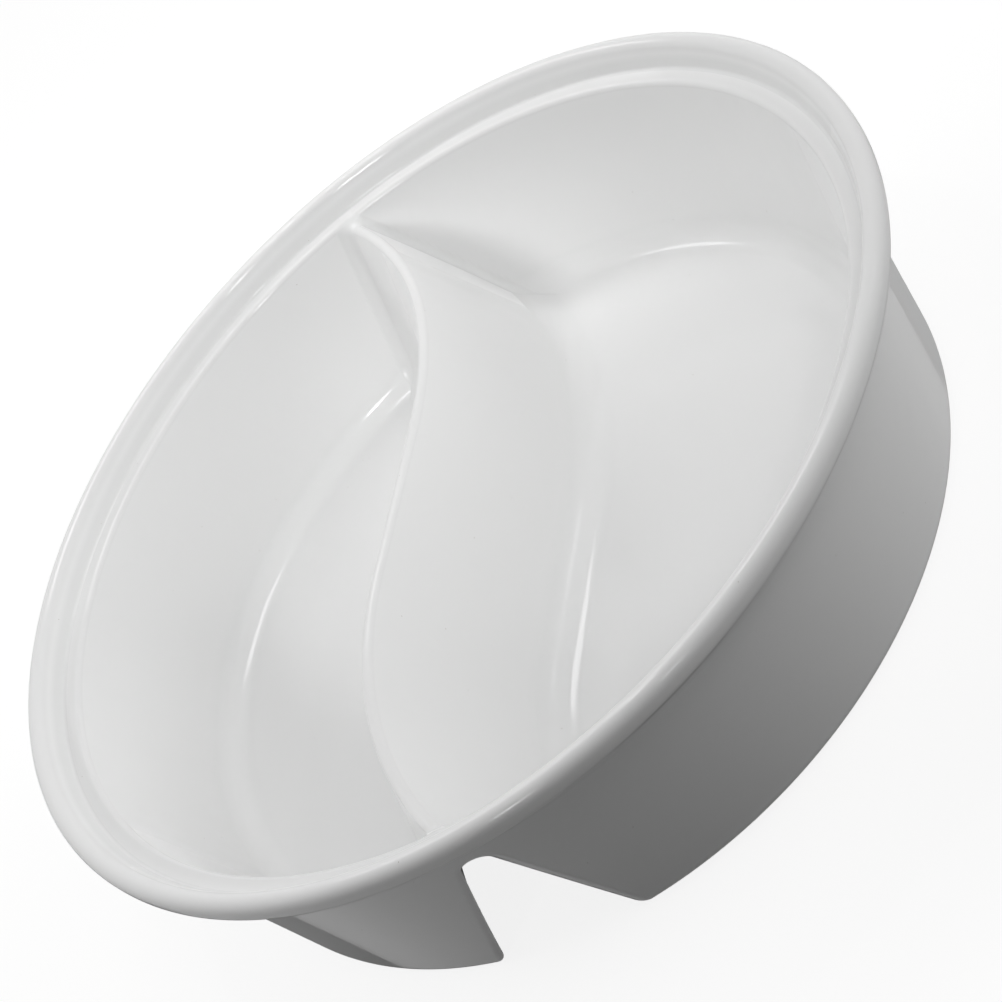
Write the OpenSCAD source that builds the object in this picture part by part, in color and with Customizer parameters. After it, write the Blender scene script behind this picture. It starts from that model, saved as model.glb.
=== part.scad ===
// Round divided serving bowl of glazed porcelain, with an S shaped ridge between two basins.
// The ridge is a folded wall: a groove, open at both ends, runs under it from side to side.
// The origin is on the table, at the middle of the bowl. The ridge's straight middle runs along Y.

/* [Bowl] */
// Width of the bowl across its rolled lip
rim_d = 380; // [350:1:420]
// Height of the bowl from its feet to the top of the lip
bowl_h = 94; // [88:1:110]
// How far the wall draws in between the rim and the feet
wall_draw_in = 8.6; // [4:0.1:14]
// Thickness of the wall just under the rim
wall_top_t = 5; // [4:0.1:7]
// Thickness of the wall at the floor
wall_base_t = 9.4; // [6:0.1:11]
// Radius where a basin's sides meet its floor
basin_fillet_r = 10; // [6:0.5:14]

/* [Rim] */
// How far the lip stands out past the wall
lip_overhang = 12.6; // [11:0.1:16]
// Radius of the rolled lip
lip_roll_r = 4; // [2.4:0.1:4.6]
// Height of the lip's upright outer face, between its two rounds
lip_face_h = 1.6; // [1:0.1:6]
// Slope of the lip's underside from the level
lip_under_slope = 43; // [35:1:50]
// Radius of the cove where the underside meets the wall
lip_cove_r = 5; // [3:0.5:7]
// Depth of the lid seat under the top of the lip
seat_depth = 11; // [9:0.1:12]
// How far the lid seat's outer edge lies inside the lip's outer face
seat_inset = 10.5; // [8.5:0.1:12]
// Radius of the lid seat's inner edge
seat_edge_r = 2; // [1:0.1:3]

/* [Ridge] */
// Place of the ridge's middle to the right of the bowl's middle
ridge_x = -12; // [-20:0.5:10]
// Place of the ridge's middle beyond the bowl's middle
ridge_y = -19.5; // [-25:0.5:5]
// Length of the ridge's straight middle
ridge_straight = 66; // [40:1:90]
// Bend radius of the far half of the ridge
far_bend_r = 175; // [150:1:200]
// Bend radius of the near half of the ridge
near_bend_r = 146; // [135:1:180]
// How far the ridge's crest lies below the top of the lip
ridge_drop = 14; // [12.5:0.5:20]
// Radius of the ridge's crest
crest_r = 2.6; // [2:0.1:5]
// Width of the ridge at the floor, before the fillet
ridge_base_w = 58; // [52:0.5:64]
// Depth of clay between the crest and the groove's roof
crest_depth = 14.5; // [12:0.5:22]
// Radius of the groove's roof under the crest
groove_roof_r = 4.6; // [3.5:0.1:5.5]
// Width of the groove at the table, before its edges are rounded
groove_base_w = 45; // [38:0.5:47]

/* [Floor and feet] */
// Height of the basins' floors above the table
floor_h = 6; // [5:0.1:8]
// Height of the unglazed feet
foot_h = 1.5; // [1:0.1:2.5]
// Width of the flat that the bowl stands on
foot_w = 7; // [5:0.5:10]
// Radius of the bowl's lower edges
foot_round_r = 4.6; // [3:0.1:4.8]

/* [Hidden] */
$fn = 180;

glaze = "#ecebe7";
glaze_shade = "#dedcd6";
bare_clay = "#cfc6b4";

left = -1;
right = 1;
round_steps = 8;

// The rim and the wall as radii and heights
lip_r = rim_d / 2;
wall_top_r = lip_r - lip_overhang;
wall_base_r = wall_top_r - wall_draw_in;
seat_z = bowl_h - seat_depth;
seat_r = lip_r - seat_inset;
function outer_r(z) = wall_base_r + wall_draw_in * z / seat_z;
function inner_r(z) =
    let (share = (z - floor_h) / (seat_z - floor_h))
    outer_r(z) - wall_base_t - (wall_top_t - wall_base_t) * share;
outer_down = [outer_r(0), 0] - [outer_r(seat_z), seat_z];
inner_down = [inner_r(0), 0] - [inner_r(seat_z), seat_z];

// The lip's two rounds, and its underside that runs down to the wall
roll_top = [lip_r - lip_roll_r, bowl_h - lip_roll_r];
roll_low = roll_top - [0, lip_face_h];
under_dir = -[cos(lip_under_slope), sin(lip_under_slope)];
under_start = roll_low + lip_roll_r * [sin(lip_under_slope), -cos(lip_under_slope)];
under_end = crossing(under_start, under_dir, [outer_r(seat_z), seat_z], outer_down);
cove = round_off(under_end, -under_dir, outer_down, lip_cove_r);
// The lip's root, from the lid seat's outer edge square across to the underside
root_in = [seat_r, seat_z];
root_out = crossing(under_start, under_dir, root_in, [-under_dir.y, under_dir.x]);

// The seam between the walls and the rim lies below the cove
seam_z = cove[round_steps].y - wall_top_t / 2;

// A basin fillet's toe dips this far under the floor, so that it ends in an edge
toe_dip = basin_fillet_r / 40;
toe_z = floor_h - toe_dip;
// Cuts run past the faces they open
overrun = lip_roll_r;

// The ridge's cross-section: a crest, two slopes and the groove under them
crest_top_z = bowl_h - ridge_drop;
crest_mid = [0, crest_top_z - crest_r];
roof_mid = [0, crest_top_z - crest_depth - groove_roof_r];
crest_seam_z = roof_mid.y - groove_roof_r;
// Lean of a side that starts at a round on the middle and ends across and down from there
function lean(r, across, down) = atan2(across, down) - asin(r / norm([across, down]));
slope_lean = lean(crest_r, ridge_base_w / 2, crest_mid.y - floor_h);
groove_lean = lean(groove_roof_r, groove_base_w / 2, roof_mid.y);
function slope_w(z) = crest_r / cos(slope_lean) + (crest_mid.y - z) * tan(slope_lean);
function groove_w(z) = groove_roof_r / cos(groove_lean) + (roof_mid.y - z) * tan(groove_lean);
// Points of a round over the ridge's middle, from its right side to its left
function over_arc(c, r, side_lean) = arc(c, r, side_lean, 180 - side_lean);

// The ridge's path: a far bend, a straight middle and a near bend
straight_half = ridge_straight / 2;
far_mid = [ridge_x - far_bend_r, ridge_y + straight_half];
near_mid = [ridge_x + near_bend_r, ridge_y - straight_half];
far_sweep = atan2(-far_mid.y, -far_mid.x) + opening_to_rim(far_mid, far_bend_r);
near_sweep = atan2(near_mid.y, near_mid.x) + opening_to_rim(near_mid, near_bend_r);

// Angle, at a bend's middle, between the bowl's middle and where the bend passes the rim
function opening_to_rim(c, r) = acos((c * c + r * r - lip_r * lip_r) / (2 * norm(c) * r));
// Points of an arc between two angles
function arc(c, r, from, to) = [
    for (i = [0:round_steps])
        let (t = from + (to - from) * i / round_steps)
        c + r * [cos(t), sin(t)]
];
// Points of the round in a corner at p, from its way a to its way b
function round_off(p, a, b, r) =
    let (
        way_a = a / norm(a),
        way_b = b / norm(b),
        half = acos(way_a * way_b) / 2,
        c = p + (way_a + way_b) * r / sin(2 * half),
        start = p + way_a * r / tan(half) - c,
        turn = (way_a.x * way_b.y - way_a.y * way_b.x > 0 ? -1 : 1) * (180 - 2 * half)
    )
    arc(c, r, atan2(start.y, start.x), atan2(start.y, start.x) + turn);
// Points of a basin's fillet, from the side above the corner p to the floor ahead
function toe_arc(p, up, ahead) =
    let (
        up_lean = atan2(-ahead * up.x, up.y),
        c = p + basin_fillet_r * [ahead * tan(45 - up_lean / 2), 1],
        toe_turn = acos(1 - toe_dip / basin_fillet_r)
    )
    [for (q = arc([0, 0], basin_fillet_r, 180 + up_lean, 270 - toe_turn)) c + [ahead * q.x, q.y]];
// Point where two lines cross
function crossing(p, a, q, b) = p + a * ((q - p).x * b.y - (q - p).y * b.x) / (a.x * b.y - a.y * b.x);
function mirrored(points) = [for (i = [len(points) - 1:-1:0]) [-points[i].x, points[i].y]];

// Outline of the rolled lip, from its root up
module lip_outline() {
    way = roll_top - root_in;
    riser_angle = atan2(way.y, way.x) + asin(lip_roll_r / norm(way)) + 90;
    polygon(concat(
        [root_in],
        arc(roll_top, lip_roll_r, riser_angle, 90),
        arc(roll_top, lip_roll_r, 90, 0),
        arc(roll_low, lip_roll_r, 0, lip_under_slope - 90),
        [root_out]
    ));
}

// Outline of the lid seat with the cove under it
module seat_outline() {
    polygon(concat(
        [[inner_r(seam_z), seam_z]],
        round_off([inner_r(seat_z), seat_z], inner_down, [1, 0], seat_edge_r),
        [root_in, root_out],
        cove,
        [[outer_r(seam_z), seam_z]]
    ));
}

// Outline of the wall with the fillet at its foot
module wall_outline() {
    polygon(concat(
        [[outer_r(floor_h), floor_h], [outer_r(seam_z), seam_z], [inner_r(seam_z), seam_z]],
        toe_arc([inner_r(toe_z), toe_z], -inner_down, -1)
    ));
}

// Outline of the space inside the walls, above the floor
module hollow_outline() {
    polygon(concat(
        [[0, floor_h], [0, seam_z], [inner_r(seam_z), seam_z]],
        toe_arc([inner_r(toe_z), toe_z], -inner_down, -1)
    ));
}

// Outline of the base between two heights, with the round of its lower edge
module base_outline(low, high) {
    intersection() {
        polygon(concat(
            [[0, 0]],
            round_off([outer_r(0), 0], [-1, 0], -outer_down, foot_round_r),
            [[outer_r(seat_z), seat_z], [0, seat_z]]
        ));
        translate([0, low])
            square([rim_d, high - low]);
    }
}

// Outline of one slope of the ridge, to the right of its middle
module slope_outline() {
    polygon(concat(
        [[groove_w(floor_h), floor_h], [groove_w(crest_seam_z), crest_seam_z],
            [slope_w(crest_seam_z), crest_seam_z]],
        toe_arc([slope_w(toe_z), toe_z], [-tan(slope_lean), 1], 1)
    ));
}

// Outline of the groove under the ridge, flared where it meets the table
module groove_outline() {
    flare = round_off([groove_w(0), 0], [1, 0], [-tan(groove_lean), 1], foot_round_r);
    side = concat([[flare[0].x, -overrun]], flare);
    polygon(concat(side, over_arc(roof_mid, groove_roof_r, groove_lean), mirrored(side)));
}

// Outline of the crest over the groove's roof
module crest_outline() {
    difference() {
        polygon(concat(
            [[slope_w(crest_seam_z), crest_seam_z]],
            over_arc(crest_mid, crest_r, slope_lean),
            [[-slope_w(crest_seam_z), crest_seam_z]]
        ));
        groove_outline();
    }
}

// Carries an outline, drawn across the ridge, along the ridge's whole path
module along_ridge() {
    translate(far_mid)
        rotate_extrude(angle = far_sweep)
            translate([far_bend_r, 0])
                children();
    translate([ridge_x, ridge_y + straight_half])
        rotate([90, 0, 0])
            linear_extrude(ridge_straight)
                children();
    translate(near_mid)
        rotate(180)
            rotate_extrude(angle = near_sweep)
                translate([near_bend_r, 0])
                    mirror([1, 0])
                        children();
}

// The block on one side of the ridge, kept clear of the ridge's middle by a gap
module side_block(side, gap = 0) {
    outside_r = side == right ? far_bend_r : near_bend_r;
    inside_r = side == right ? near_bend_r : far_bend_r;
    translate([ridge_x, ridge_y])
        rotate(side == right ? 0 : 180) {
            difference() {
                translate([-rim_d, straight_half])
                    cube([2 * rim_d, rim_d, bowl_h]);
                translate([-outside_r, straight_half, -overrun])
                    cylinder(h = bowl_h + 2 * overrun, r = outside_r + gap);
            }
            translate([gap, -straight_half])
                cube([rim_d, ridge_straight, bowl_h]);
            intersection() {
                translate([-rim_d, -straight_half - rim_d])
                    cube([2 * rim_d, rim_d, bowl_h]);
                translate([inside_r, -straight_half])
                    cylinder(h = bowl_h, r = inside_r - gap);
            }
        }
}

module groove() {
    along_ridge()
        groove_outline();
}

module wall(side) {
    difference() {
        intersection() {
            rotate_extrude()
                wall_outline();
            side_block(side);
        }
        groove();
    }
}

module flank(side) {
    intersection() {
        along_ridge()
            scale([side, 1])
                slope_outline();
        rotate_extrude()
            hollow_outline();
    }
}

module floor_slab(side) {
    difference() {
        intersection() {
            rotate_extrude()
                base_outline(foot_h, floor_h);
            side_block(side);
        }
        groove();
    }
}

module foot(side) {
    difference() {
        intersection() {
            rotate_extrude()
                base_outline(0, foot_h);
            side_block(side);
        }
        groove();
        intersection() {
            translate([0, 0, -overrun])
                cylinder(h = foot_h + 2 * overrun, r = outer_r(0) - foot_round_r - foot_w);
            translate([0, 0, -overrun])
                side_block(side, groove_w(0) + foot_round_r + foot_w);
        }
    }
}

module rim_lip() {
    color(glaze)
        rotate_extrude()
            lip_outline();
}

module lid_seat() {
    color(glaze_shade)
        rotate_extrude()
            seat_outline();
}

module left_wall() {
    color(glaze)
        wall(left);
}

module right_wall() {
    color(glaze)
        wall(right);
}

module left_flank() {
    color(glaze_shade)
        flank(left);
}

module right_flank() {
    color(glaze_shade)
        flank(right);
}

module divider_crest() {
    color(glaze)
        intersection() {
            along_ridge()
                crest_outline();
            rotate_extrude()
                polygon([[0, floor_h], [inner_r(floor_h), floor_h], [inner_r(seat_z), seat_z], [0, seat_z]]);
        }
}

module left_floor() {
    color(glaze)
        floor_slab(left);
}

module right_floor() {
    color(glaze)
        floor_slab(right);
}

module left_foot() {
    color(bare_clay)
        foot(left);
}

module right_foot() {
    color(bare_clay)
        foot(right);
}

rim_lip();
lid_seat();
left_wall();
right_wall();
left_flank();
right_flank();
divider_crest();
left_floor();
right_floor();
left_foot();
right_foot();
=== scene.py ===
from math import acos, atan2, cos, hypot, pi, radians, sin, tan

import bmesh
import bpy
import numpy as np
from mathutils import Matrix, Vector


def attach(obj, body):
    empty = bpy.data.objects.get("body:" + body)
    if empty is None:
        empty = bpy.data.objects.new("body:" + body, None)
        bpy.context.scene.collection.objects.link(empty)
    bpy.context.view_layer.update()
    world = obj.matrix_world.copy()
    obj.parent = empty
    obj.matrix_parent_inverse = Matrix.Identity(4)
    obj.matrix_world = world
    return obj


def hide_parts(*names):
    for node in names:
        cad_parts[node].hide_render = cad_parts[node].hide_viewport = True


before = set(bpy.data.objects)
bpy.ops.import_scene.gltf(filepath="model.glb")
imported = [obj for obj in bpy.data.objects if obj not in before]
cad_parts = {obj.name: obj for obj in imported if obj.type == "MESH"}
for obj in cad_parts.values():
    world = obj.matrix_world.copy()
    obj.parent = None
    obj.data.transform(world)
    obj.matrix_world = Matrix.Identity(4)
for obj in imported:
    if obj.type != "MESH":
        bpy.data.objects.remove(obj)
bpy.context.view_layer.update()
print("frame loaded")

# Lengths of the bowl are in millimetres, as in its solids, and meshes are in metres.
mm = 0.001
tiny, weldDigits, hairGap, roundSlack = 1e-6, 4, 0.05, 0.01

bowl = {
    "outerFoot": 168.8, "outerTop": 177.4,  # outside of the wall at the table and at the lid seat
    "wallFoot": 9.4, "wallTop": 5.0,  # thickness of the wall at the floor and at the lid seat
    "floor": 6.0, "seat": 83.0, "seatEdge": 2.0, "basinFillet": 10.0, "creaseFillet": 4.5,
    "footRound": 4.6, "footTop": 1.5, "footWidth": 7.0, "footCorner": (0.7, 0.2), "notchEdge": 2.8,
    "crestSeam": 56.3, "wallSeam": 69.682,
}
ridge = {
    "x": -12.0, "y": -19.5, "straight": 66.0, "farBend": 175.0, "nearBend": 146.0,
    "top": 80.0, "topRound": 2.6, "baseHalf": 29.0,
    "grooveTop": 65.5, "grooveRound": 4.6, "grooveHalf": 22.5,
}

# How finely the surfaces are laid out: lengths in millimetres, and counts of rings
detail = {
    "halvings": 44, "normalStep": 0.02, "bendStep": 0.6,
    "ridgeSteps": (0.6, 12, 2.4), "wallSteps": (0.55, 22, 2.6), "coarsening": 40,
    "insideHub": 18.0, "underHub": 27.0, "ridgeReach": 330, "tipReach": 1.2, "endPower": 1.6,
    "insideRings": {"fillet": 14, "crest": 9, "wall": 3, "top": 20},
    "underRings": {"floor": 7, "crest": 12, "top": 14},
    "climbRings": 3, "footRings": 4, "coveRings": 12, "wallRings": 3,
}


def outerRadius(z):
    return bowl["outerFoot"] + (bowl["outerTop"] - bowl["outerFoot"]) * z / bowl["seat"]


innerFoot = round(outerRadius(bowl["floor"]) - bowl["wallFoot"], weldDigits)
innerTop = bowl["outerTop"] - bowl["wallTop"]


def innerRadius(z):
    share = (z - bowl["floor"]) / (bowl["seat"] - bowl["floor"])
    return innerFoot + (innerTop - innerFoot) * share


# How far a wedge's side leans from upright, below its round top
def leanOf(topRound, across, down):
    return atan2(across, down) - np.arcsin(topRound / hypot(across, down))


halfStraight = ridge["straight"] / 2
farMid = (ridge["x"] - ridge["farBend"], ridge["y"] + halfStraight)
nearMid = (ridge["x"] + ridge["nearBend"], ridge["y"] - halfStraight)
flankLean = leanOf(ridge["topRound"], ridge["baseHalf"],
                   ridge["top"] - ridge["topRound"] - bowl["floor"])
grooveLean = leanOf(ridge["grooveRound"], ridge["grooveHalf"], ridge["grooveTop"] - ridge["grooveRound"])
innerCos = cos(atan2(innerTop - innerFoot, bowl["seat"] - bowl["floor"]))
outerCos = cos(atan2(bowl["outerTop"] - bowl["outerFoot"], bowl["seat"]))


# The ridge's own coordinates: how far along it, and how far across it to the larger basin's side
def toRidge(x, y):
    fx, fy, nx, ny = x - farMid[0], y - farMid[1], x - nearMid[0], y - nearMid[1]
    far, near = y > farMid[1], y < nearMid[1]
    across = np.where(far, np.hypot(fx, fy) - ridge["farBend"],
                      np.where(near, ridge["nearBend"] - np.hypot(nx, ny), x - ridge["x"]))
    farAlong = halfStraight + ridge["farBend"] * np.arctan2(fy, fx)
    nearAlong = -halfStraight - ridge["nearBend"] * np.arctan2(-ny, -nx)
    return np.where(far, farAlong, np.where(near, nearAlong, y - ridge["y"])), across


def ridgePoint(along, across):
    along = np.asarray(along, float)
    farTurn = (along - halfStraight) / ridge["farBend"]
    nearTurn = (-along - halfStraight) / ridge["nearBend"]
    farR, nearR = ridge["farBend"] + across, ridge["nearBend"] - across
    x = np.where(farTurn > 0, farMid[0] + farR * np.cos(farTurn),
                 np.where(nearTurn > 0, nearMid[0] - nearR * np.cos(nearTurn), ridge["x"] + across))
    y = np.where(farTurn > 0, farMid[1] + farR * np.sin(farTurn),
                 np.where(nearTurn > 0, nearMid[1] - nearR * np.sin(nearTurn), ridge["y"] + along))
    return np.stack([x, y], -1)


# Distance outside a wedge with a round top
def wedge(across, z, top, topRound, lean):
    a, b = np.abs(across), z - (top - topRound)
    onRound = b * cos(lean) > a * sin(lean)
    return np.where(onRound, np.hypot(a, b) - topRound, a * cos(lean) + b * sin(lean) - topRound)


# Two clay bodies joined with a fillet, and the clay that two share with its edge rounded
def filleted(a, b, r):
    return np.maximum(r, np.minimum(a, b)) - np.hypot(np.maximum(r - a, 0), np.maximum(r - b, 0))


def edged(a, b, r):
    return np.minimum(-r, np.maximum(a, b)) + np.hypot(np.maximum(r + a, 0), np.maximum(r + b, 0))


# Fields of distance, above zero in the air and below zero in the clay
def basinSides(x, y, z):
    wall = edged((innerRadius(z) - np.hypot(x, y)) * innerCos, z - bowl["seat"], bowl["seatEdge"])
    flank = wedge(toRidge(x, y)[1], z, ridge["top"], ridge["topRound"], flankLean)
    return filleted(wall, flank, bowl["creaseFillet"])


def insideField(x, y, z):
    return filleted(basinSides(x, y, z), z - bowl["floor"], bowl["basinFillet"])


def underSides(x, y, z):
    wall = (np.hypot(x, y) - outerRadius(z)) * outerCos
    groove = -wedge(toRidge(x, y)[1], z, ridge["grooveTop"], ridge["grooveRound"], grooveLean)
    return edged(wall, groove, bowl["notchEdge"])


def outsideField(x, y, z):
    return edged(underSides(x, y, z), -z, bowl["footRound"])


def fieldNormals(field, points):
    step = detail["normalStep"]
    x, y, z = np.moveaxis(points, -1, 0)
    grad = np.stack([field(x + step, y, z) - field(x - step, y, z),
                     field(x, y + step, z) - field(x, y - step, z),
                     field(x, y, z + step) - field(x, y, z - step)], -1)
    return grad / np.linalg.norm(grad, axis=-1, keepdims=True)


# How sharply the clay bends: above zero on a crest, below zero in a hollow, in parts per millimetre
def fieldBend(field, points):
    step = detail["bendStep"]
    x, y, z = np.moveaxis(points, -1, 0)
    around = (field(x + step, y, z) + field(x - step, y, z) + field(x, y + step, z)
              + field(x, y - step, z) + field(x, y, z + step) + field(x, y, z - step))
    return (around - 6 * field(x, y, z)) / step ** 2


# Where a field changes between a value in the clay and one in the air
def surfaceBetween(field, clay, air):
    clay, air = np.broadcast_arrays(np.asarray(clay, float), np.asarray(air, float))
    for _ in range(detail["halvings"]):
        middle = (clay + air) / 2
        inAir = field(middle) > 0
        clay, air = np.where(inAir, clay, middle), np.where(inAir, middle, air)
    return (clay + air) / 2


# Places from 0 to a length, close together at both ends
def gradedPlaces(length, fine, fineRun, coarse):
    places = [0.0]
    while places[-1] < length:
        fromEnd = min(places[-1], length - places[-1])
        share = min(max((fromEnd - fineRun) / detail["coarsening"], 0), 1)
        places.append(places[-1] + fine + (coarse - fine) * share)
    return np.array(places) * length / places[-1]


# Columns stand on a loop inside one basin and look outward, to the ridge's middle or to a circle.
# They run from the near end of the ridge to the far end, and back round the wall.
class Columns:
    def __init__(self, side, rimR, wallFoot, ridgeFoot, hubGap, topOf, climb=None):
        spineR, spineW = wallFoot - hubGap, ridgeFoot + hubGap

        # Where a line beside the ridge crosses a circle, from one place on it towards another
        def crossing(offset, radius, start, end):
            return surfaceBetween(lambda s: np.hypot(*ridgePoint(s, offset).T) - radius, start, end)

        reaches = [-detail["ridgeReach"], detail["ridgeReach"]]
        ends = [crossing(0, rimR, 0, reach).item() for reach in reaches]
        hubs = [crossing(side * spineW, spineR, 0, reach).item() for reach in reaches]
        along = ends[0] + gradedPlaces(ends[1] - ends[0], *detail["ridgeSteps"])
        ridgeTarget = ridgePoint(along, 0)
        ridgeOrigin = ridgePoint(np.clip(along, *hubs), side * spineW)
        tips = [ridgeTarget[0], ridgeTarget[-1]]
        hubSpots = [ridgePoint(s, side * spineW) for s in hubs]
        # A tip's line may climb on to a wider circle
        radii = np.linspace(rimR, climb, detail["climbRings"] + 1)[1:] if climb else []
        climbed = [[ridgePoint(crossing(0, r, s, s * detail["tipReach"]), 0) for r in radii]
                   for s in ends]
        wideR = climb or rimR
        angles = [atan2(p[1], p[0]) for p in ((climbed[i] or [tips[i]])[-1] for i in (0, 1))]
        hubAngles = [atan2(p[1], p[0]) for p in hubSpots]
        sweep = (angles[0] - angles[1]) % (2 * pi) if side < 0 else -((angles[1] - angles[0]) % (2 * pi))
        arc = gradedPlaces(abs(sweep) * wideR, *detail["wallSteps"]) / wideR * np.sign(sweep)
        turned = angles[1] + arc
        hubTurn = [(hubAngles[1] - angles[1] + pi) % (2 * pi) - pi,
                   sweep - ((angles[0] - hubAngles[0] + pi) % (2 * pi) - pi)]
        held = angles[1] + np.clip(arc, min(hubTurn), max(hubTurn))
        wallTarget = wideR * np.stack([np.cos(turned), np.sin(turned)], -1)
        wallOrigin = spineR * np.stack([np.cos(held), np.sin(held)], -1)
        for i in (1, 0):  # hub columns start exactly at the hub
            near = np.hypot(*(wallOrigin - hubSpots[i]).T) < tiny
            wallOrigin[near] = hubSpots[i]
        farLine = [np.array(p) for p in climbed[1]][:-1]
        nearLine = [np.array(p) for p in climbed[0]][:-1][::-1]
        between = slice(None) if climb else slice(1, -1)
        target = [*ridgeTarget, *farLine, *wallTarget[between], *nearLine]
        origin = [*ridgeOrigin, *[hubSpots[1]] * len(farLine), *wallOrigin[between],
                  *[hubSpots[0]] * len(nearLine)]
        self.origin, self.target = np.array(origin), np.array(target)
        self.reach = np.hypot(*(self.target - self.origin).T)
        self.way = (self.target - self.origin) / self.reach[:, None]
        self.topZ = topOf(*self.target.T)
        self.ridge = np.arange(len(along))
        self.wall = np.r_[len(along) - 1:len(self.target), 0]
        self.climb = len(farLine)

    def at(self, run, z):
        return self.origin[:, 0] + self.way[:, 0] * run, self.origin[:, 1] + self.way[:, 1] * run, z

    def points(self, run, z):
        return np.stack(np.broadcast_arrays(*self.at(run, np.asarray(z, float))), -1)

    # How far out the surface is at a height
    def level(self, field, z, inward):
        ends = (self.reach, 0 * self.reach) if inward else (0 * self.reach, self.reach)
        return surfaceBetween(lambda run: field(*self.at(run, z)), *ends)

    # Points on the surface where slanted lines, along which run + height is constant, meet it
    def slanted(self, field, total, inward):
        low = np.maximum(total - self.reach, 0)
        ends = (low, total) if inward else (total, low)
        z = surfaceBetween(lambda h: field(*self.at(total - h, h)), *ends)
        return self.points(total - z, z)

    # Rings between two totals, with the shares of the way that each ring lies at
    def rings(self, field, start, end, shares, inward):
        return np.array([self.slanted(field, start + (end - start) * t, inward) for t in shares])


def evenShares(count):
    return np.linspace(0, 1, count + 1)[1:-1]


def endingShares(count):
    return 1 - (1 - np.linspace(0, 1, count + 1)[1:-1]) ** detail["endPower"]


def topOfInside(x, y):
    low, high = 0 * x + bowl["seat"] / 2, 0 * x + 2 * bowl["seat"]
    return surfaceBetween(lambda z: insideField(x, y, z), low, high)


def topOfUnder(x, y):
    return surfaceBetween(lambda z: outsideField(x, y, z), 0 * x + bowl["seat"], 0 * x)


# The rows of points up a side's surface, with the number of the row that each part ends on
def laidOut(cols, field, start, rows, stops, heights, ringCounts, inward):
    for name, z in {**heights, "top": cols.topZ}.items():
        isTop = name == "top"
        end = (cols.reach if isTop else cols.level(field, z, inward)) + z
        shares = (endingShares if isTop else evenShares)(ringCounts[name])
        rows += [*cols.rings(field, start, end, shares, inward), cols.points(end - z, z)]
        stops[name] = len(rows) - 1
        start = end
    grid = np.array(rows)
    return {"cols": cols, "grid": grid, "normals": fieldNormals(field, grid),
            "bend": fieldBend(field, grid), "stops": stops}


edgeTangent = bowl["seatEdge"] / innerCos - bowl["seatEdge"] * tan(acos(innerCos))
seatInnerR = innerTop + edgeTangent + hairGap
inside, under = {}, {}
for side in (-1, 1):
    cols = Columns(side, seatInnerR, innerFoot, ridge["baseHalf"], detail["insideHub"], topOfInside)
    toe = surfaceBetween(lambda run: basinSides(*cols.at(run, bowl["floor"])) - bowl["basinFillet"],
                         cols.reach, 0 * cols.reach)
    rows = [cols.points(run, bowl["floor"]) for run in (0 * toe, toe / 2, toe)]
    heights = {"fillet": bowl["floor"] + bowl["basinFillet"], "crest": bowl["crestSeam"],
               "wall": bowl["wallSeam"]}
    inside[side] = laidOut(cols, insideField, toe + bowl["floor"], rows, {"toe": len(rows) - 1}, heights,
                           detail["insideRings"], True)

    cols = Columns(side, outerRadius(ridge["grooveTop"]), bowl["outerFoot"], ridge["grooveHalf"],
                   detail["underHub"], topOfUnder, outerRadius(bowl["wallSeam"]))
    foot = cols.level(outsideField, bowl["footTop"], False)
    rows = [cols.points(foot, bowl["footTop"])]
    heights = {"floor": bowl["floor"], "crest": bowl["crestSeam"]}
    under[side] = laidOut(cols, outsideField, foot + bowl["footTop"], rows, {"foot": 0}, heights,
                          detail["underRings"], False)
print("surfaces laid out")


def addObject(name, data):
    thing = bpy.data.objects.new(name, data)
    bpy.context.scene.collection.objects.link(thing)
    return thing


def printState(name, work):
    openEdges = sum(not edge.is_manifold for edge in work.edges)
    volume = work.calc_volume() / mm ** 3
    print(f"{name}: {len(work.faces)} faces, {openEdges} open edges, {volume:.0f} mm3")


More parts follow.
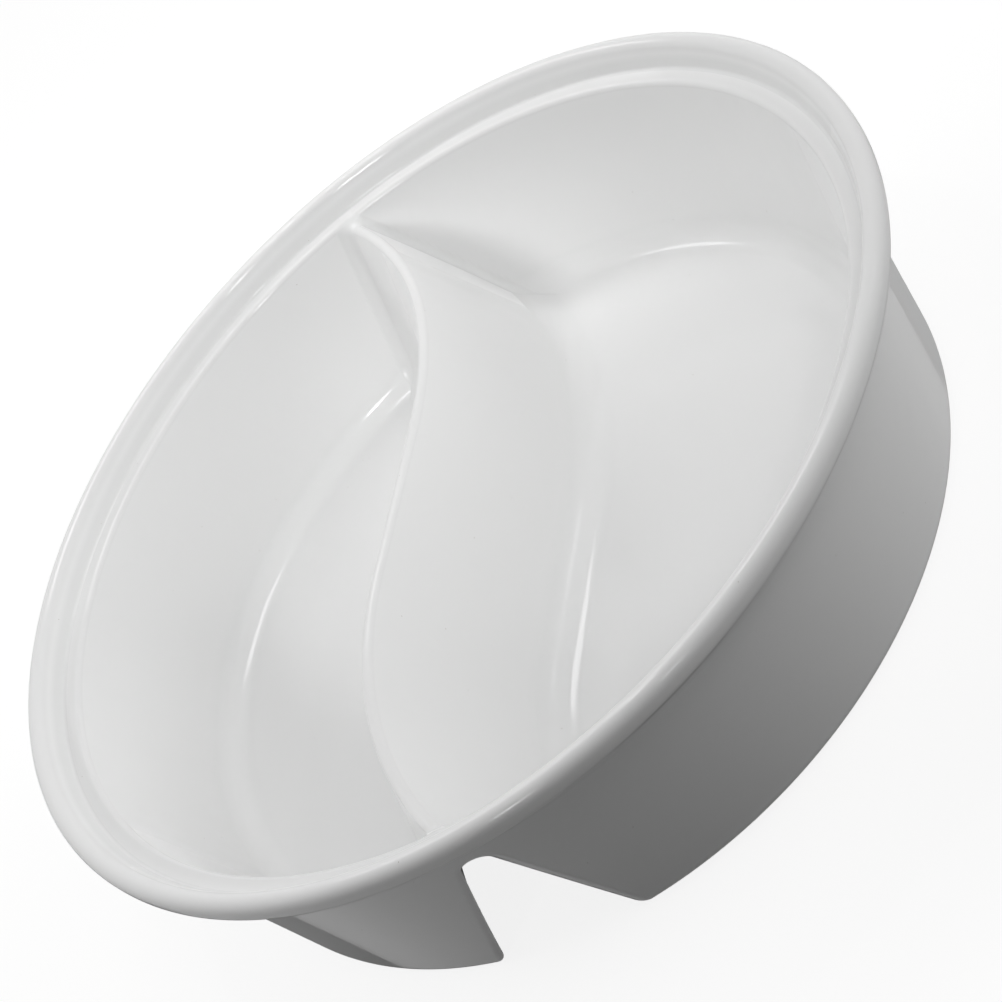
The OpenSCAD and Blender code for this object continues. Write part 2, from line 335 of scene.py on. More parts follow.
# A closed piece from curved sheets, whose normals are known, and flat faces
class Piece:
    def __init__(self, name):
        self.name, self.faces, self.curved = name, [], []
        self.verts, self.normals, self.bends = [], [], []

    # Adds vertices and gives the number of the first
    def add(self, points, normals=None, bend=None):
        start = sum(len(v) for v in self.verts)
        points = np.asarray(points, float).reshape(-1, 3)
        self.verts.append(points)
        self.normals.append(0 * points if normals is None else np.reshape(normals, (-1, 3)))
        self.bends.append(np.zeros(len(points)) if bend is None else np.ravel(bend))
        return start

    def sheet(self, points, normals=None, bend=None):
        rows, count = points.shape[:2]
        index = self.add(points, normals, bend) + np.arange(rows * count).reshape(rows, count)
        quads = np.stack([index[:-1, :-1], index[:-1, 1:], index[1:, 1:], index[1:, :-1]], -1)
        quads = quads.reshape(-1, 4)
        self.faces += quads.tolist()
        self.curved += [normals is not None] * len(quads)

    def flat(self, polygons):
        for polygon in polygons:
            start = self.add(polygon)
            self.faces.append(list(range(start, start + len(polygon))))
            self.curved.append(False)

    # Triangles between two lines of points
    def band(self, a, b):
        a, b = np.asarray(a), np.asarray(b)
        runs = [np.r_[0, np.cumsum(np.linalg.norm(np.diff(line, axis=0), axis=1))] for line in (a, b)]
        placeA, placeB = [run / max(run[-1], tiny) for run in runs]
        start = self.add(np.concatenate([a, b]))
        i = j = 0
        while i < len(a) - 1 or j < len(b) - 1:
            stepA = j == len(b) - 1 or (i < len(a) - 1 and placeA[i + 1] <= placeB[j + 1])
            third = start + (i + 1 if stepA else len(a) + j + 1)
            self.faces.append([start + i, start + len(a) + j, third])
            self.curved.append(False)
            i, j = (i + 1, j) if stepA else (i, j + 1)

    def finish(self):
        verts = np.concatenate(self.verts)
        normals = np.concatenate(self.normals)
        keys, first, which = np.unique(np.round(verts, weldDigits), axis=0,
                                       return_index=True, return_inverse=True)
        which = which.ravel()
        known = np.zeros((len(keys), 3))
        np.add.at(known, which, normals)
        known = known / np.maximum(np.linalg.norm(known, axis=1, keepdims=True), tiny)
        bends = np.concatenate(self.bends)
        bend = np.zeros(len(keys))
        np.add.at(bend, which, bends)
        bend = bend / np.maximum(np.bincount(which, bends != 0, len(keys)), 1)
        faces, curved = [], []
        for face, isCurved in zip(self.faces, self.curved):
            ids = []
            for v in which[face]:
                if not ids or v != ids[-1]:
                    ids.append(int(v))
            if ids[0] == ids[-1]:
                ids.pop()
            if len(set(ids)) > 2:
                faces.append(ids)
                curved.append(isCurved)
        mesh = bpy.data.meshes.new(self.name)
        mesh.from_pydata((verts[first] * mm).tolist(), [], faces)
        mark = mesh.attributes.new("curved", "INT", "FACE")
        mark.data.foreach_set("value", curved)
        work = bmesh.new()
        work.from_mesh(mesh)
        bmesh.ops.recalc_face_normals(work, faces=work.faces)
        if work.calc_volume(signed=True) < 0:
            bmesh.ops.reverse_faces(work, faces=work.faces)
        printState(self.name, work)
        work.to_mesh(mesh)
        work.free()
        marks = np.zeros(len(mesh.polygons), int)
        mesh.attributes["curved"].data.foreach_get("value", marks)
        mesh.polygons.foreach_set("use_smooth", marks > 0)
        faceNormals = np.zeros(len(mesh.polygons) * 3)
        mesh.polygons.foreach_get("normal", faceNormals)
        faceNormals = faceNormals.reshape(-1, 3)
        totals = np.zeros(len(mesh.polygons), int)
        mesh.polygons.foreach_get("loop_total", totals)
        owner = np.repeat(np.arange(len(totals)), totals)
        corner = np.zeros(len(mesh.loops), int)
        mesh.loops.foreach_get("vertex_index", corner)
        cornerNormals = np.where(marks[owner, None] > 0, known[corner], faceNormals[owner])
        mesh.normals_split_custom_set(cornerNormals.tolist())
        mesh.attributes.remove(mesh.attributes["curved"])
        mesh.attributes.new("bend", "FLOAT", "POINT").data.foreach_set("value", bend)
        return addObject(self.name, mesh)


sideName = {-1: "left", 1: "right"}
pieces = {}


def ringOf(part, stop, which):
    return part["grid"][part["stops"][stop]][getattr(part["cols"], which)]


def sheetOf(part, start, end, which):
    rows = slice(part["stops"][start], part["stops"][end] + 1)
    columns = getattr(part["cols"], which)
    return [part[kind][rows][:, columns] for kind in ("grid", "normals", "bend")]


def columnOf(part, start, end, index):
    return part["grid"][part["stops"][start]:part["stops"][end] + 1, index]


def endColumns(part):
    return {"near": 0, "far": part["cols"].ridge[-1]}


# The ledge for a lid and the rolled lip round it, with the lip's steps round the rim and in a round
seat = {"ledgeR": 179.5, "lipR": 190.0, "height": 94.0, "roll": 4.0, "face": 1.6, "underSlope": 43.0,
        "cove": 5.0, "corner": 1.6, "sharpAngle": 24, "steps": (720, 15)}


# Middle of the round in a corner, and its first and last angle
def roundIn(corner, wayA, wayB, r):
    a, b = np.array(wayA) / np.linalg.norm(wayA), np.array(wayB) / np.linalg.norm(wayB)
    half = acos(float(a @ b)) / 2
    middle = np.array(corner) + (a + b) * r / sin(2 * half)
    start, end = [np.array(corner) + way * r / tan(half) - middle for way in (a, b)]
    first, last = atan2(start[1], start[0]), atan2(end[1], end[0])
    return middle, first, first + (last - first + pi) % (2 * pi) - pi


def crossOf(p, a, q, b):
    gap = np.array(q) - np.array(p)
    return np.array(p) + np.array(a) * (gap[0] * b[1] - gap[1] * b[0]) / (a[0] * b[1] - a[1] * b[0])


# The lip's cross-section as radii and heights
slope = radians(seat["underSlope"])
rollTop = np.array([seat["lipR"] - seat["roll"], seat["height"] - seat["roll"]])
rollLow = rollTop - [0, seat["face"]]
underWay, underOut = np.array([-cos(slope), -sin(slope)]), np.array([sin(slope), -cos(slope)])
underStart = rollLow + seat["roll"] * underOut
ledgeCorner = np.array([seat["ledgeR"], bowl["seat"]])
rootOut = crossOf(underStart, underWay, ledgeCorner, underOut)
toRoll = rollTop - ledgeCorner
riserAngle = atan2(toRoll[1], toRoll[0]) + np.arcsin(seat["roll"] / np.linalg.norm(toRoll)) + pi / 2
riserWay = [sin(riserAngle), -cos(riserAngle)]
cornerRound = roundIn(ledgeCorner, [-1, 0], riserWay, seat["corner"])
ledgeEnd = cornerRound[0][0]
wallDown = np.array([outerRadius(0) - outerRadius(bowl["seat"]), -bowl["seat"]])
coveCorner = crossOf(underStart, underWay, [outerRadius(0), 0], wallDown)
coveRound = roundIn(coveCorner, -underWay, wallDown, seat["cove"])


# Points or normals in the directions that a ring's points have from the bowl's middle
def roundMiddle(ring, outward, up):
    return np.c_[ring[:, :2] / np.hypot(*ring[:, :2].T)[:, None] * outward, np.full(len(ring), up)]


# The underside's slope, the cove and the wall under it, as radius, height, normal and bend
middle, first, last = coveRound
slopeRun = middle + seat["cove"] * np.array([cos(first), sin(first)]) - rootOut
underProfile = [(*(rootOut + slopeRun * t), *underOut, 0) for t in (0, 0.5)]
for t in np.linspace(first, last, detail["coveRings"] + 1):
    way = np.array([cos(t), sin(t)])
    underProfile.append((*(middle + seat["cove"] * way), *-way, -1 / seat["cove"]))
wallOut = np.array([outerCos, -np.sqrt(1 - outerCos ** 2)])
wallHeights = np.linspace(underProfile[-1][1], bowl["wallSeam"], detail["wallRings"] + 1)[1:]
underProfile += [(outerRadius(z), z, *wallOut, 0) for z in wallHeights]

lidSeat, crest = Piece("lidSeat"), Piece("dividerCrest")
for side in (-1, 1):
    up, low = inside[side], under[side]
    name = sideName[side]
    climb = low["cols"].climb
    rim = low["grid"][-1][low["cols"].wall]
    climbs = {"far": rim[:climb + 2], "near": rim[::-1][:climb + 2]}

    wall = Piece(name + "BasinWall")
    wall.sheet(*sheetOf(up, "toe", "wall", "wall"))
    wall.sheet(*sheetOf(low, "floor", "top", "wall"))
    wall.band(ringOf(up, "toe", "wall"), ringOf(low, "floor", "wall"))
    wallRim = rim[climb + 1:len(rim) - climb - 1]
    wall.band(ringOf(up, "wall", "wall"), wallRim)
    lidSeat.band(ringOf(up, "wall", "wall"), wallRim)

    flank = Piece(name + "RidgeFlank")
    flank.sheet(*sheetOf(up, "toe", "crest", "ridge"))
    flank.sheet(*sheetOf(low, "floor", "crest", "ridge"))
    flank.band(ringOf(up, "toe", "ridge"), ringOf(low, "floor", "ridge"))
    flank.band(ringOf(up, "crest", "ridge"), ringOf(low, "crest", "ridge"))

    crest.sheet(*sheetOf(up, "crest", "top", "ridge"))
    crest.sheet(*sheetOf(low, "crest", "top", "ridge"))
    crest.band(ringOf(up, "crest", "ridge"), ringOf(low, "crest", "ridge"))

    for end in ("near", "far"):  # hidden faces where wall, flank and crest meet
        tipUp, tipLow = endColumns(up)[end], endColumns(low)[end]
        lower = columnOf(up, "toe", "crest", tipUp), columnOf(low, "floor", "crest", tipLow)
        upper = (columnOf(up, "crest", "wall", tipUp),
                 np.concatenate([columnOf(low, "crest", "top", tipLow), climbs[end][1:]]))
        for piece, lines in ((wall, lower), (wall, upper), (flank, lower), (crest, upper)):
            piece.band(*lines)

    floor = Piece(name + "BasinFloor")
    everyUp, everyLow = np.arange(len(up["cols"].reach)), np.arange(len(low["cols"].reach))
    loopUp, loopLow = np.r_[everyUp, 0], np.r_[everyLow, 0]
    floor.sheet(*[up[kind][:3][:, loopUp] for kind in ("grid", "normals", "bend")])
    spine = np.c_[up["cols"].origin, np.full(len(everyUp), bowl["floor"])]
    floor.flat([spine])
    lowRows = slice(0, low["stops"]["floor"] + 1)
    floor.sheet(*[low[kind][lowRows][:, loopLow] for kind in ("grid", "normals", "bend")])
    spine = np.c_[low["cols"].origin, np.full(len(everyLow), bowl["footTop"])]
    foot = low["grid"][0]
    floor.flat([[foot[i], foot[j], spine[j], spine[i]] for i, j in zip(everyLow, np.roll(everyLow, -1))])
    floor.flat([spine])
    for which in ("ridge", "wall"):
        floor.band(ringOf(up, "toe", which), ringOf(low, "floor", which))

    # The foot is a closed ring: its round, the flat that it stands on and its inner side
    cols = low["cols"]
    standing, innerSide = [
        surfaceBetween(lambda run: underSides(*cols.at(run, 0.0)) + bowl["footRound"] + width,
                       0 * cols.reach, cols.reach) for width in (0, bowl["footWidth"])]
    top = cols.level(outsideField, bowl["footTop"], False)
    shares = evenShares(detail["footRings"])
    rounded = np.array([cols.points(top, bowl["footTop"]),
                        *cols.rings(outsideField, top + bowl["footTop"], standing, shares, False),
                        cols.points(standing, 0.0)])[:, loopLow]
    corner, cut = bowl["footCorner"]
    rest = [cols.points(run, z) for run, z in (
        (standing, 0.0), (innerSide + corner, 0.0), (innerSide + cut, cut), (innerSide, corner),
        (innerSide, bowl["footTop"]), (top, bowl["footTop"]))]
    ring = Piece(name + "FootRing")
    ring.sheet(rounded, fieldNormals(outsideField, rounded), fieldBend(outsideField, rounded))
    ring.sheet(np.array(rest)[:, loopLow])

    # The ledge runs out from the wall's rounded edge, and the lip's underside comes down to the wall
    lidSeat.sheet(*sheetOf(up, "wall", "top", "wall"))
    edge = ringOf(up, "top", "wall")
    ledge = roundMiddle(edge, ledgeEnd, bowl["seat"])
    flatUp = roundMiddle(ledge, 0, 1)
    edgeNormals = up["normals"][-1][up["cols"].wall]
    lidSeat.sheet(np.array([edge, ledge]), np.array([edgeNormals, flatUp]))
    rings = np.array([roundMiddle(wallRim, r, z) for r, z, *_ in underProfile])
    rings[-1] = wallRim
    lidSeat.sheet(rings, np.array([roundMiddle(wallRim, nr, nz) for _, _, nr, nz, _ in underProfile]),
                  np.array([[bend] * len(wallRim) for *_, bend in underProfile]))
    lidSeat.band(ledge, rings[0])

    for node, piece in (("wall", wall), ("flank", flank), ("floor", floor), ("foot", ring)):
        pieces[f"{name}_{node}"] = piece.finish()

for end in ("near", "far"):
    lines = [columnOf(inside[side], "wall", "top", endColumns(inside[side])[end]) for side in (-1, 1)]
    outer = under[1]["grid"][-1][under[1]["cols"].wall]
    corner = outer[under[1]["cols"].climb + 1] if end == "far" else outer[-under[1]["cols"].climb - 2]
    for piece in (lidSeat, crest):
        piece.band(*lines)
        piece.flat([[lines[0][0], lines[1][0], corner]])
pieces["lid_seat"], pieces["divider_crest"] = lidSeat.finish(), crest.finish()
print("bowl's body made")


# The rolled lip is a cross-section of three rounds and its root, carried round the rim
def sweptRim():
    tree = bpy.data.node_groups.new("sweptRim", "GeometryNodeTree")
    sockets = {}

    def socket(name, kind):
        sockets[name] = tree.interface.new_socket(name=name, in_out="INPUT", socket_type=kind).identifier

    for name in ("Corner", "Top Roll", "Low Roll"):
        socket(name + " Middle", "NodeSocketVector")
        for size in ("Radius", "Start", "Sweep"):
            socket(f"{name} {size}", "NodeSocketFloat")
    socket("Root", "NodeSocketVector")
    socket("Path Radius", "NodeSocketFloat")
    socket("Steps Round", "NodeSocketInt")
    socket("Steps In A Round", "NodeSocketInt")
    socket("Glaze", "NodeSocketMaterial")
    tree.interface.new_socket(name="Geometry", in_out="OUTPUT", socket_type="NodeSocketGeometry")
    nodes, link = tree.nodes, tree.links.new
    given = nodes.new("NodeGroupInput")

    join = nodes.new("GeometryNodeJoinGeometry")
    root = nodes.new("GeometryNodePoints")
    link(given.outputs["Root"], root.inputs["Position"])
    link(root.outputs[0], join.inputs[0])
    for name in ("Low Roll", "Top Roll", "Corner"):
        arc = nodes.new("GeometryNodeCurveArc")
        place = nodes.new("GeometryNodeTransform")
        points = nodes.new("GeometryNodeCurveToPoints")
        points.mode = "EVALUATED"
        link(given.outputs["Steps In A Round"], arc.inputs["Resolution"])
        for size, end in (("Radius", "Radius"), ("Start", "Start Angle"), ("Sweep", "Sweep Angle")):
            link(given.outputs[f"{name} {size}"], arc.inputs[end])
        link(given.outputs[name + " Middle"], place.inputs["Translation"])
        link(arc.outputs[0], place.inputs["Geometry"])
        link(place.outputs[0], points.inputs["Curve"])
        link(points.outputs[0], join.inputs[0])
    outline = nodes.new("GeometryNodePointsToCurves")
    flip = nodes.new("GeometryNodeTransform")  # the sweep turns an outline's Y to point down
    flip.inputs["Scale"].default_value = (1, -1, 1)
    closed = nodes.new("GeometryNodeSetSplineCyclic")
    closed.inputs["Cyclic"].default_value = True
    path = nodes.new("GeometryNodeCurvePrimitiveCircle")
    sweep = nodes.new("GeometryNodeCurveToMesh")
    smooth = nodes.new("GeometryNodeSetShadeSmooth")
    realize = nodes.new("GeometryNodeRealizeInstances")
    finish = nodes.new("GeometryNodeSetMaterial")
    out = nodes.new("NodeGroupOutput")
    link(join.outputs[0], outline.inputs[0])
    link(outline.outputs[0], flip.inputs["Geometry"])
    link(flip.outputs[0], closed.inputs[0])
    link(given.outputs["Path Radius"], path.inputs["Radius"])
    link(given.outputs["Steps Round"], path.inputs["Resolution"])
    link(path.outputs[0], sweep.inputs["Curve"])
    link(closed.outputs[0], sweep.inputs["Profile Curve"])
    link(sweep.outputs[0], smooth.inputs[0])
    link(smooth.outputs[0], realize.inputs[0])
    link(realize.outputs[0], finish.inputs["Geometry"])
    link(given.outputs["Glaze"], finish.inputs["Material"])
    link(finish.outputs[0], out.inputs[0])
    return tree, sockets


def makeRimLip(material):
    tree, sockets = sweptRim()
    holder = addObject("rimHolder", bpy.data.meshes.new("rimHolder"))
    modifier = holder.modifiers.new("rim", "NODES")
    modifier.node_group = tree
    pathRadius = 100.0
    rounds = {"Corner": (cornerRound[0], seat["corner"], cornerRound[1], cornerRound[2]),
              "Top Roll": (rollTop, seat["roll"], riserAngle, 0.0),
              "Low Roll": (rollLow, seat["roll"], 0.0, slope - pi / 2)}
    for name, (middle, radius, start, end) in rounds.items():
        modifier[sockets[name + " Middle"]] = ((middle[0] - pathRadius) * mm, middle[1] * mm, 0.0)
        modifier[sockets[name + " Radius"]] = radius * mm
        modifier[sockets[name + " Start"]] = float(start)
        modifier[sockets[name + " Sweep"]] = float(end - start)
    modifier[sockets["Root"]] = ((rootOut[0] - pathRadius) * mm, rootOut[1] * mm, 0.0)
    modifier[sockets["Path Radius"]] = pathRadius * mm
    modifier[sockets["Steps Round"]], modifier[sockets["Steps In A Round"]] = seat["steps"]
    modifier[sockets["Glaze"]] = material
    evaluated = holder.evaluated_get(bpy.context.evaluated_depsgraph_get())
    mesh = bpy.data.meshes.new_from_object(evaluated)
    bpy.data.objects.remove(holder)
    work = bmesh.new()
    work.from_mesh(mesh)
    bmesh.ops.remove_doubles(work, verts=work.verts, dist=tiny)
    bmesh.ops.recalc_face_normals(work, faces=work.faces)
    printState("rimLip", work)
    work.to_mesh(mesh)
    work.free()
    mesh.set_sharp_from_angle(angle=radians(seat["sharpAngle"]))
    place = np.zeros(len(mesh.vertices) * 3)
    mesh.vertices.foreach_get("co", place)
    place = place.reshape(-1, 3) / mm
    spot = np.c_[np.hypot(place[:, 0], place[:, 1]), place[:, 2]]
    bend = np.zeros(len(spot))
    for (middle, radius, *_), way in zip(rounds.values(), (-1, 1, 1)):
        bend[np.abs(np.hypot(*(spot - middle).T) - radius) < roundSlack] = way / radius
    mesh.attributes.new("bend", "FLOAT", "POINT").data.foreach_set("value", bend)
    return addObject("rimLip", mesh)


def setValues(node, values):
    for name, value in values.items():
        node.inputs[name].default_value = value


def calculated(nodes, link, operation, *values):
    node = nodes.new("ShaderNodeMath")
    node.operation = operation
    for value, socket in zip(values, node.inputs):
        if isinstance(value, (int, float)):
            socket.default_value = value
        else:
            link(value, socket)
    return node.outputs[0]


def mapped(nodes, link, value, fromEnds, toEnds, kind="LINEAR"):
    node = nodes.new("ShaderNodeMapRange")
    node.interpolation_type = kind
    for side, ends in (("From", fromEnds), ("To", toEnds)):
        setValues(node, {side + " Min": ends[0], side + " Max": ends[1]})
    link(value, node.inputs["Value"])
    return node.outputs["Result"]


def mixed(nodes, link, kind, factor, a, b):
    mix = nodes.new("ShaderNodeMix")
    mix.data_type = kind
    for value, socket in ((factor, mix.inputs["Factor"]), (a, mix.inputs["A"]), (b, mix.inputs["B"])):
        if isinstance(value, tuple):
            socket.default_value = (*value, 1)
        elif isinstance(value, float):
            socket.default_value = value
        else:
            link(value, socket)
    return mix.outputs["Result"]


# Marks that clay and glaze share: soft clouds of tone, fine grain, and a few specks
def clayMarks():
    group = bpy.data.node_groups.new("clayMarks", "ShaderNodeTree")
    for name, value in clay["marks"].items():
        socket = group.interface.new_socket(name=name, in_out="INPUT", socket_type="NodeSocketFloat")
        socket.default_value = value
    for name in ("Tone", "Relief", "Specks"):
        group.interface.new_socket(name=name, in_out="OUTPUT", socket_type="NodeSocketFloat")
    nodes, link = group.nodes, group.links.new
    given, out = nodes.new("NodeGroupInput"), nodes.new("NodeGroupOutput")
    place = nodes.new("ShaderNodeTexCoord")
    clouds, grain, dots = [nodes.new(kind) for kind in
                           ("ShaderNodeTexNoise", "ShaderNodeTexNoise", "ShaderNodeTexVoronoi")]
    setValues(clouds, {"Detail": clay["cloudDetail"]})
    setValues(grain, {"Detail": clay["grainDetail"]})
    for texture, scale in ((clouds, "Cloud Scale"), (grain, "Grain Scale"), (dots, "Speck Scale")):
        link(place.outputs["Object"], texture.inputs["Vector"])
        link(given.outputs[scale], texture.inputs["Scale"])
    tone = mixed(nodes, link, "FLOAT", given.outputs["Cloud Share"], grain.outputs[0], clouds.outputs[0])
    link(tone, out.inputs["Tone"])
    link(grain.outputs[0], out.inputs["Relief"])
    # A speck lies only where a cell's middle is close by
    near = calculated(nodes, link, "LESS_THAN", dots.outputs["Distance"], given.outputs["Speck Size"])
    link(near, out.inputs["Specks"])
    return group


# The pooled colour darkens hollows. It is partly glaze that pools there and partly painted shade in the
# creases, the corners and the cove under the lip.
glaze = {"poolAndShade": (0.84, 0.843, 0.84), "body": (0.905, 0.906, 0.904), "thin": (0.86, 0.86, 0.858),
         "poolAndShadeBelow": 0.47, "thinAbove": 0.53, "bends": (-0.3, 0.3),
         "cloud": (0.87, 0.873, 0.872), "clouding": 0.3, "speck": (0.56, 0.54, 0.50),
         "marks": {"Cloud Scale": 16, "Grain Scale": 120, "Speck Scale": 95, "Speck Size": 0.018,
                   "Cloud Share": 0.75},
         "ripple": {"Scale": 55, "Detail": 1}, "rippleBump": {"Strength": 0.05, "Distance": 0.002},
         "roughness": (0.07, 0.12), "ior": 1.5, "gloss": (0.42, 0.0), "edgeOn": (0.5, 0.82)}
clay = {"pale": (0.66, 0.62, 0.55), "dark": (0.50, 0.46, 0.39), "speck": (0.25, 0.21, 0.17),
        "marks": {"Cloud Scale": 18.0, "Grain Scale": 900.0, "Speck Scale": 260.0, "Speck Size": 0.05,
                  "Cloud Share": 0.5}, "cloudDetail": 3.0, "grainDetail": 2.0,
        "roughness": 0.82, "grainBump": {"Strength": 0.5, "Distance": 0.0003}, "edge": (0.25, 0.4)}


def startMaterial(name):
    material = bpy.data.materials.new(name)
    material.use_nodes = True
    nodes = material.node_tree.nodes
    return material, nodes, material.node_tree.links.new, nodes["Principled BSDF"]


def makeGlaze(name, marks):
    material, nodes, link, shader = startMaterial(name)
    place = nodes.new("ShaderNodeTexCoord")
    group = nodes.new("ShaderNodeGroup")
    group.node_tree = marks
    setValues(group, glaze["marks"])
    bend = nodes.new("ShaderNodeAttribute")  # hollows get darker, part glaze pooling and part painted shade in creases, corners and the cove under the lip; crests run thin
    bend.attribute_name = "bend"
    ramp = nodes.new("ShaderNodeValToRGB")
    ramp.color_ramp.elements[0].color = (*glaze["poolAndShade"], 1)
    ramp.color_ramp.elements[1].color = (*glaze["thin"], 1)
    for end in ("poolAndShadeBelow", "thinAbove"):
        ramp.color_ramp.elements.new(glaze[end]).color = (*glaze["body"], 1)
    link(mapped(nodes, link, bend.outputs["Fac"], glaze["bends"], (0, 1)), ramp.inputs["Fac"])
    clouding = calculated(nodes, link, "MULTIPLY", group.outputs["Tone"], glaze["clouding"])
    body = mixed(nodes, link, "RGBA", clouding, ramp.outputs["Color"], glaze["cloud"])
    body = mixed(nodes, link, "RGBA", group.outputs["Specks"], body, glaze["speck"])
    link(body, shader.inputs["Base Color"])
    roughness = mapped(nodes, link, group.outputs["Tone"], (0, 1), glaze["roughness"])
    link(roughness, shader.inputs["Roughness"])
    ripple = nodes.new("ShaderNodeTexNoise")
    setValues(ripple, glaze["ripple"])
    link(place.outputs["Object"], ripple.inputs["Vector"])
    bump = nodes.new("ShaderNodeBump")
    setValues(bump, glaze["rippleBump"])
    link(ripple.outputs[0], bump.inputs["Height"])
    link(bump.outputs["Normal"], shader.inputs["Normal"])
    shader.inputs["IOR"].default_value = glaze["ior"]
    facing = nodes.new("ShaderNodeLayerWeight")  # the gloss fades where the glaze is seen edge-on
    gloss = mapped(nodes, link, facing.outputs["Facing"], glaze["edgeOn"], glaze["gloss"])
    link(gloss, shader.inputs["Specular IOR Level"])
    return material, nodes, link, shader, place, group


def makeClay(name, marks):
    material, nodes, link, shader, place, _ = makeGlaze(name, marks)
    rough = nodes.new("ShaderNodeGroup")
    rough.node_tree = marks
    split = nodes.new("ShaderNodeSeparateXYZ")
    link(place.outputs["Object"], split.inputs[0])
    # The glaze is wiped from the face that stands on the table
    edge = [height * mm for height in clay["edge"]]
    bare = mapped(nodes, link, split.outputs["Z"], edge, (1, 0))
    fired = mixed(nodes, link, "RGBA", rough.outputs["Tone"], clay["dark"], clay["pale"])
    fired = mixed(nodes, link, "RGBA", rough.outputs["Specks"], fired, clay["speck"])
    glazed = shader.inputs["Base Color"].links[0].from_socket
    link(mixed(nodes, link, "RGBA", bare, glazed, fired), shader.inputs["Base Color"])
    glossy = shader.inputs["Roughness"].links[0].from_socket
    link(mixed(nodes, link, "FLOAT", bare, glossy, clay["roughness"]), shader.inputs["Roughness"])
    relief = nodes.new("ShaderNodeBump")
    setValues(relief, clay["grainBump"])
    link(calculated(nodes, link, "MULTIPLY", rough.outputs["Relief"], bare), relief.inputs["Height"])
    link(shader.inputs["Normal"].links[0].from_socket, relief.inputs["Normal"])
    link(relief.outputs["Normal"], shader.inputs["Normal"])
    return material


marks = clayMarks()
whiteGlaze = makeGlaze("whiteGlaze", marks)[0]
bareClay = makeClay("bareClay", marks)
pieces["rim_lip"] = makeRimLip(whiteGlaze)
for node, piece in pieces.items():
    isFoot = node.endswith("foot")
    piece.data.materials.clear()
    piece.data.materials.append(bareClay if isFoot else whiteGlaze)
    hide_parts(node)
    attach(piece, "root")
print("materials on")

# The photo's camera, in metres, with its roll in degrees and its lens in millimetres
shot = {"from": (0.40648, -0.42984, 0.46705), "toward": (0.05407, -0.05253, 0.094), "roll": -46.46,
        "lens": 69.50, "sensor": 36, "clip": (0.01, 50)}


# A direction or place by how far it is to the camera's right, away from the camera, and up
def fromCamera(side, back, height):
    away = (Vector(shot["toward"]) - Vector(shot["from"])) * Vector((1, 1, 0))
    away.normalize()
    return away.cross(Vector((0, 0, 1))) * side + away * back + Vector((0, 0, height))


room = {"floorR": 4.0, "floorSides": 96, "floorSeen": (0.198, 0.198, 0.198), "floorGlow": 0.86,
        "floorBounce": (0.1, 0.1, 0.1)}
# Soft patches of light in the sky, by how far they lie to the camera's right, away from it, and up.
# A patch fades between these cosines from its middle.
patchEdge = (0.78, 1.0)
patches = {
    "right": {"toward": (0.99, -0.12, 0.07), "glow": 2.8},
    "backLeft": {"toward": (-0.61, 0.61, 0.50), "glow": 1.9},
    "highRight": {"toward": (0.46, -0.27, 0.85), "glow": 1.3},
}


# One for the rays that show the background, in the camera or in gloss, and zero for the rays that light
def seenRays(nodes, link):
    path = nodes.new("ShaderNodeLightPath")
    seen = path.outputs["Is Camera Ray"]
    for ray in ("Is Glossy Ray", "Is Transmission Ray"):
        seen = calculated(nodes, link, "MAXIMUM", seen, path.outputs[ray])
    return seen


def makeFloor():
    mesh = bpy.data.meshes.new("tableTop")
    work = bmesh.new()
    bmesh.ops.create_circle(work, cap_ends=True, segments=room["floorSides"], radius=room["floorR"])
    work.to_mesh(mesh)
    work.free()
    material, nodes, link, shader = startMaterial("tableTop")
    shader.inputs["Roughness"].default_value = 1.0
    shader.inputs["Specular IOR Level"].default_value = 0.0
    seen = seenRays(nodes, link)
    colour = mixed(nodes, link, "RGBA", seen, room["floorBounce"], room["floorSeen"])
    link(colour, shader.inputs["Base Color"])
    glow = calculated(nodes, link, "MULTIPLY", seen, room["floorGlow"])
    link(glow, shader.inputs["Emission Strength"])
    shader.inputs["Emission Color"].default_value = (1, 1, 1, 1)
    mesh.materials.append(material)
    addObject("tableTop", mesh)


def makeWorld():
    world = bpy.data.worlds.new("studio")
    bpy.context.scene.world = world
    world.use_nodes = True
    nodes, link = world.node_tree.nodes, world.node_tree.links.new
    nodes.clear()
    dim, white, place = [nodes.new(kind) for kind in
                         ("ShaderNodeBackground", "ShaderNodeBackground", "ShaderNodeTexCoord")]
    total = 0
    for patch in patches.values():
        facing = nodes.new("ShaderNodeVectorMath")
        facing.operation = "DOT_PRODUCT"
        facing.inputs[1].default_value = fromCamera(*patch["toward"]).normalized()
        link(place.outputs["Generated"], facing.inputs[0])
        glow = mapped(nodes, link, facing.outputs["Value"], patchEdge, (0, patch["glow"]), "SMOOTHSTEP")
        total = calculated(nodes, link, "ADD", glow, total)
    link(total, dim.inputs["Strength"])
    white.inputs["Strength"].default_value = 1.0
    for shader in (dim, white):
        shader.inputs["Color"].default_value = (1, 1, 1, 1)
    mix, out = nodes.new("ShaderNodeMixShader"), nodes.new("ShaderNodeOutputWorld")
    link(seenRays(nodes, link), mix.inputs[0])
    link(dim.outputs[0], mix.inputs[1])
    link(white.outputs[0], mix.inputs[2])
    link(mix.outputs[0], out.inputs[0])


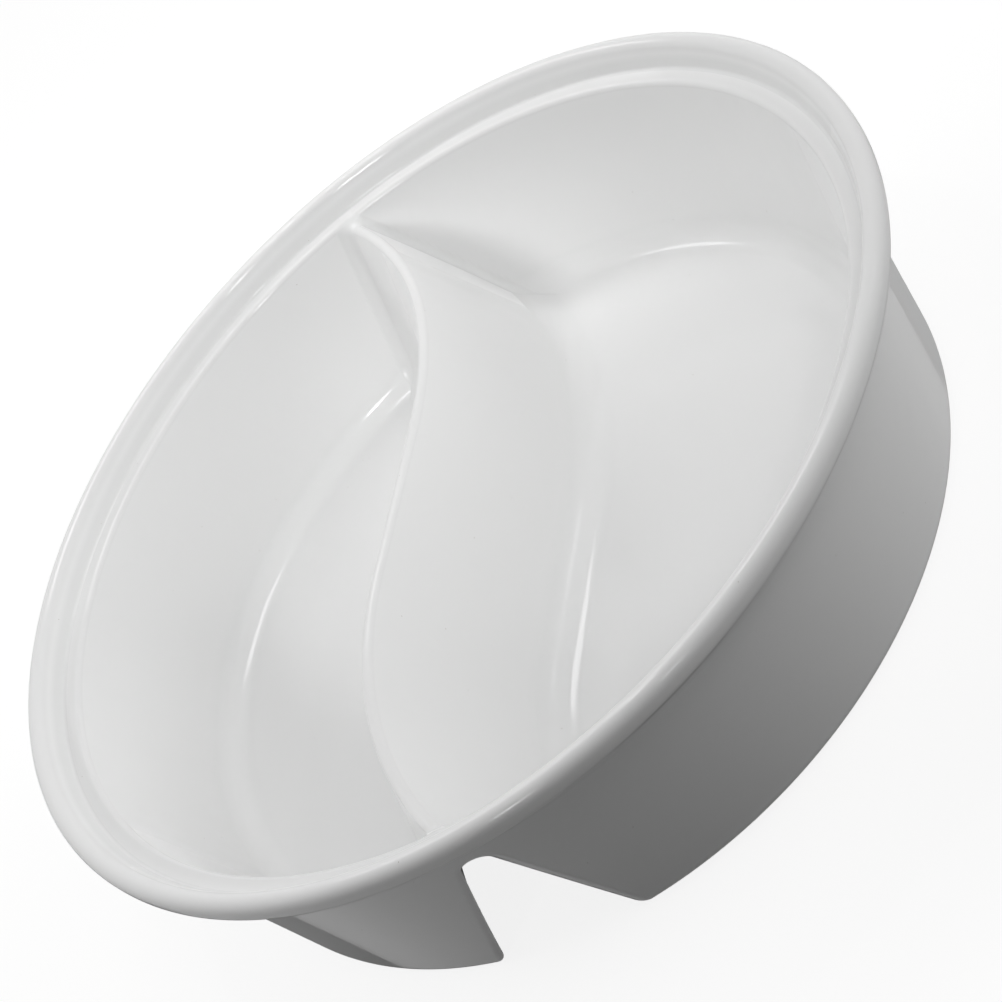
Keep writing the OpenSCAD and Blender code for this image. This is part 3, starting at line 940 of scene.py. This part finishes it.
# Lamps, placed by metres to the camera's right, away from it, and up. A lamp with a cone is a spot,
# whose size is its width across, and the others are boxes, with a length and a width.
lamps = {
    "farSpot": {"place": (-0.68, -0.72, 0.80), "aim": (0.0, 0.14, 0.08), "size": 0.4, "power": 29.0,
                "cone": 15},
    "rightSpot": {"place": (0.10, -0.94, 0.89), "aim": (0.10, 0.12, 0.08), "size": 0.3, "power": 22.0,
                  "cone": 12},
    "skyBox": {"place": (0.0, 0.65, 1.0), "aim": (-0.27, 0.11, 0.05), "size": (0.9, 0.2), "power": 2.7},
    "sideBox": {"place": (0.80, 0.02, 0.6), "aim": (0.0, -0.03, 0.03), "size": (0.12, 0.12),
                "power": 0.08},
    "smallBox": {"place": (-0.06, 0.33, 1.3), "aim": (0.0, 0.0, 0.05), "size": (0.08, 0.08),
                 "power": 0.5},
}
spotBlend = 0.6


def makeLamps():
    for name, lamp in lamps.items():
        data = bpy.data.lights.new(name, "SPOT" if "cone" in lamp else "AREA")
        data.energy = lamp["power"]
        if "cone" in lamp:
            data.spot_size, data.spot_blend = radians(lamp["cone"]), spotBlend
            data.shadow_soft_size = lamp["size"] / 2
        else:
            data.shape = "RECTANGLE"
            data.size, data.size_y = lamp["size"]
        light = addObject(name, data)
        light.location = fromCamera(*lamp["place"])
        light.rotation_mode = "QUATERNION"
        light.rotation_quaternion = (fromCamera(*lamp["aim"]) - light.location).to_track_quat("-Z", "Y")


def makeCamera():
    data = bpy.data.cameras.new("shot")
    data.lens, data.sensor_width = shot["lens"], shot["sensor"]
    data.clip_start, data.clip_end = shot["clip"]
    camera = addObject("shot", data)
    place, ahead = Vector(shot["from"]), Vector(shot["toward"]) - Vector(shot["from"])
    ahead.normalize()
    level = ahead.cross(Vector((0, 0, 1))).normalized()
    above = level.cross(ahead)
    roll = radians(shot["roll"])
    across = level * cos(roll) + above * sin(roll)
    upright = above * cos(roll) - level * sin(roll)
    turn = Matrix((across, upright, -ahead)).transposed()
    camera.matrix_world = Matrix.Translation(place) @ turn.to_4x4()
    bpy.context.scene.camera = camera


makeFloor()
makeWorld()
makeLamps()
makeCamera()
bpy.context.scene.view_settings.view_transform = "Standard"
print("stage, lamps and camera placed")
